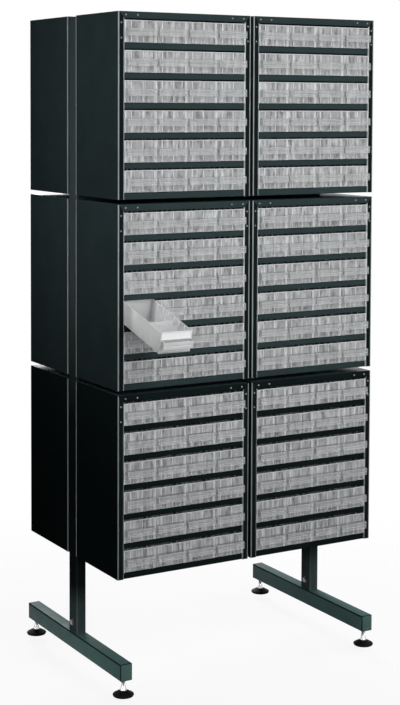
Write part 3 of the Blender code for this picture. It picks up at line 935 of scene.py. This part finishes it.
def add_bolt(side):
    """A hexagon bolt and nut, each on a washer, across the upright."""
    node = "upright_bolt_" + side
    middle, size = node_middle(node)
    half = size.x / 2
    seat = node_middle("upright_" + side)[1].x / 2 + SEAT
    washer_top = seat + WASHER_THICKNESS
    nut_end = half - THREAD_PITCH
    bm = bmesh.new()
    for sign, outer in ((-1, half), (1, nut_end)):
        one = bmesh.new()
        washer = [(0, seat), (WASHER_RADIUS, seat), (WASHER_RADIUS, washer_top), (0, washer_top)]
        add_turned(one, washer, TURNED_SIDES)
        add_hexagon(one, washer_top + JOIN, outer)
        merge_bmesh(bm, one, Matrix.Rotation(sign * QUARTER_TURN, 4, "Y"))
    shank = [(0, -seat), (BOLT_RADIUS, -seat), (BOLT_RADIUS, seat), (0, seat)]
    tip = [(0, nut_end + JOIN), (BOLT_RADIUS, nut_end + JOIN), (BOLT_RADIUS - THREAD_DEPTH, half), (0, half)]
    for profile in (shank, tip):
        one = bmesh.new()
        add_turned(one, profile, TURNED_SIDES)
        merge_bmesh(bm, one, Matrix.Rotation(QUARTER_TURN, 4, "Y"))
    bmesh.ops.translate(bm, vec=middle, verts=bm.verts)
    make_piece("bolt_" + side, bm, [SCREW_STEEL], ROOT, [node], TURNED_SMOOTH_ANGLE)


def add_pad(place, spindle_bottom):
    """A domed pad with a socket for the spindle's pin."""
    node = "glide_pad_" + place
    middle, size = node_middle(node)
    radius = size.x / 2
    socket_floor = spindle_bottom - SEAT
    socket = [(0, socket_floor), (SOCKET_RADIUS, socket_floor), (SOCKET_RADIUS, size.z)]
    dome = [(radius * wide, size.z * tall) for wide, tall in PAD_DOME]
    pad = bmesh.new()
    add_turned(pad, socket + dome + [(0, 0)], TURNED_SIDES)
    bmesh.ops.translate(pad, vec=(middle.x, middle.y, 0), verts=pad.verts)
    make_piece("pad_" + place, pad, [BLACK_PLASTIC], node, [node], TURNED_SMOOTH_ANGLE)


def add_spindle(place, pad_height):
    """A threaded spindle with a conical hub that stands on the pad."""
    node = "glide_spindle_" + place
    low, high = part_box(node)
    middle = (low + high) / 2
    hub = (high.x - low.x) / 2
    seat = pad_height + SEAT
    root = ROD_RADIUS - THREAD_DEPTH
    outline = [(0, low.z), (PIN_RADIUS, low.z), (PIN_RADIUS, seat), (hub, seat), (hub, seat + HUB_RIM),
               (hub * HUB_SHOULDER_SHARE, seat + HUB_SHOULDER), (ROD_RADIUS * HUB_TOP_SHARE, seat + HUB_TOP)]
    level = seat + THREAD_START
    while level + THREAD_PITCH < high.z - THREAD_PITCH:
        outline += [(root, level), (ROD_RADIUS, level + THREAD_PITCH / 2)]
        level += THREAD_PITCH
    outline += [(root, level), (root, high.z), (0, high.z)]
    spindle = bmesh.new()
    add_turned(spindle, outline, TURNED_SIDES)
    bmesh.ops.translate(spindle, vec=(middle.x, middle.y, 0), verts=spindle.verts)
    make_piece("spindle_" + place, spindle, [STEEL], node, [node], TURNED_SMOOTH_ANGLE)


def add_glide(place):
    add_pad(place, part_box("glide_spindle_" + place)[0].z)
    add_spindle(place, node_middle("glide_pad_" + place)[1].z)


def add_shelf_edge():
    """The rolled front edge of the shelf under the open drawer, with a crimp near each end."""
    node = "shelf_edge_rod"
    middle, size = node_middle(node)
    radius = size.z / 2
    half = size.x / 2
    end = radius * CRIMP
    outline = [(0, -half), (end, -half)]
    for sign in (-1, 1):
        outline += [(radius * wide, sign * half * along) for wide, along in EDGE_OUTLINE][::-sign]
    outline += [(end, half), (0, half)]
    bm = bmesh.new()
    add_turned(bm, outline, TURNED_SIDES)
    place = Matrix.Translation(middle) @ Matrix.Rotation(QUARTER_TURN, 4, "Y")
    bmesh.ops.transform(bm, matrix=place, verts=bm.verts)
    make_piece("rolled_shelf_edge", bm, [CASE_PAINT], node, [node])


# Studio

def seen_ray(tree):
    """One for rays from the camera, from a mirror or through a clear surface, else nought."""
    path = tree.nodes.new("ShaderNodeLightPath")
    result = path.outputs["Is Camera Ray"]
    for name in ("Is Glossy Ray", "Is Transmission Ray"):
        either = tree.nodes.new("ShaderNodeMath")
        either.operation = "MAXIMUM"
        tree.links.new(result, either.inputs[0])
        tree.links.new(path.outputs[name], either.inputs[1])
        result = either.outputs[0]
    return result


def mixed(tree, share, first, second):
    """A node that mixes two shaders; where the share is one it shows the second alone."""
    mix = tree.nodes.new("ShaderNodeMixShader")
    tree.links.new(share, mix.inputs[0])
    tree.links.new(first.outputs[0], mix.inputs[1])
    tree.links.new(second.outputs[0], mix.inputs[2])
    return mix


def stage_material():
    """A grey floor that the camera and mirrors see as a pale one, plain white away from the stand."""
    material, tree, bounce = new_material("floor")
    socket_value(bounce, Base_Color=(*grey(FLOOR_BOUNCE), 1), Roughness=FLOOR_ROUGHNESS)
    socket_value(bounce, Specular_IOR_Level=0.0)
    place = tree.nodes.new("ShaderNodeTexCoord")
    distance = tree.nodes.new("ShaderNodeVectorMath")
    distance.operation = "LENGTH"
    tree.links.new(place.outputs["Object"], distance.inputs[0])
    share = tree.nodes.new("ShaderNodeMapRange")
    share.interpolation_type = "SMOOTHSTEP"
    socket_value(share, From_Min=NEAR, From_Max=FAR, To_Min=NEAR_WHITE, To_Max=FAR_WHITE)
    tree.links.new(distance.outputs["Value"], share.inputs["Value"])
    pale = tree.nodes.new("ShaderNodeBsdfDiffuse")
    socket_value(pale, Color=(*grey(FLOOR_SEEN), 1))
    white = tree.nodes.new("ShaderNodeEmission")
    seen = mixed(tree, share.outputs["Result"], pale, white)
    surface = mixed(tree, seen_ray(tree), bounce, seen)
    tree.links.new(surface.outputs[0], tree.nodes["Material Output"].inputs["Surface"])
    return material


def add_stage():
    """A wide floor, as low as the glides reach when they are screwed out."""
    reach = max(joint["range_m"][1] for joint in frame["joints"] if joint["name"].endswith("_lift"))
    floor = bmesh.new()
    corners = ((-1, -1), (1, -1), (1, 1), (-1, 1))
    floor.faces.new([floor.verts.new((x * FLOOR_HALF, y * FLOOR_HALF, -reach)) for x, y in corners])
    mesh = bpy.data.meshes.new("floor")
    floor.to_mesh(mesh)
    floor.free()
    mesh.materials.append(stage_material())
    ground = bpy.data.objects.new("floor", mesh)
    bpy.context.scene.collection.objects.link(ground)


def add_world():
    """Even light from all round, seen as white."""
    world = bpy.data.worlds.new("studio")
    bpy.context.scene.world = world
    world.use_nodes = True
    tree = world.node_tree
    tree.nodes.clear()
    light = tree.nodes.new("ShaderNodeBackground")
    socket_value(light, Color=(1, 1, 1, 1), Strength=WORLD_BOUNCE)
    shown = tree.nodes.new("ShaderNodeBackground")
    socket_value(shown, Color=(1, 1, 1, 1), Strength=WORLD_SEEN)
    out = tree.nodes.new("ShaderNodeOutputWorld")
    tree.links.new(mixed(tree, seen_ray(tree), light, shown).outputs[0], out.inputs["Surface"])


def add_lamp(name, place, target, size, power, spread):
    lamp = bpy.data.lights.new(name, "AREA")
    lamp.shape = "DISK"
    lamp.size = size
    lamp.energy = power
    lamp.spread = math.radians(spread)
    item = bpy.data.objects.new(name, lamp)
    item.location = place
    item.rotation_euler = (Vector(target) - Vector(place)).to_track_quat("-Z", "Y").to_euler()
    bpy.context.scene.collection.objects.link(item)


def add_camera():
    lens = bpy.data.cameras.new("camera")
    lens.lens = CAMERA_LENS
    lens.shift_y = CAMERA_SHIFT
    camera = bpy.data.objects.new("camera", lens)
    turn = Matrix.Rotation(-CAMERA_AZIMUTH, 4, "Z") @ Matrix.Rotation(QUARTER_TURN - CAMERA_TILT, 4, "X")
    camera.matrix_world = Matrix.Translation(CAMERA_PLACE) @ turn @ Matrix.Rotation(CAMERA_ROLL, 4, "Z")
    bpy.context.scene.collection.objects.link(camera)
    bpy.context.scene.camera = camera


def main():
    kinds = drawer_kinds()
    add_cabinets(kinds)
    add_sliding_drawers(kinds)
    add_label()
    for side in SIDES:
        add_upright(side)
        add_base_bar(side)
        add_bolt(side)
        for face in FACES:
            add_glide(face + "_" + side)
    for place in RAILS:
        add_cross_rail(place)
    add_shelf_edge()
    add_stage()
    add_world()
    for lamp in LAMPS:
        add_lamp(*lamp)
    add_camera()
    bpy.context.scene.view_settings.view_transform = "Standard"


main()
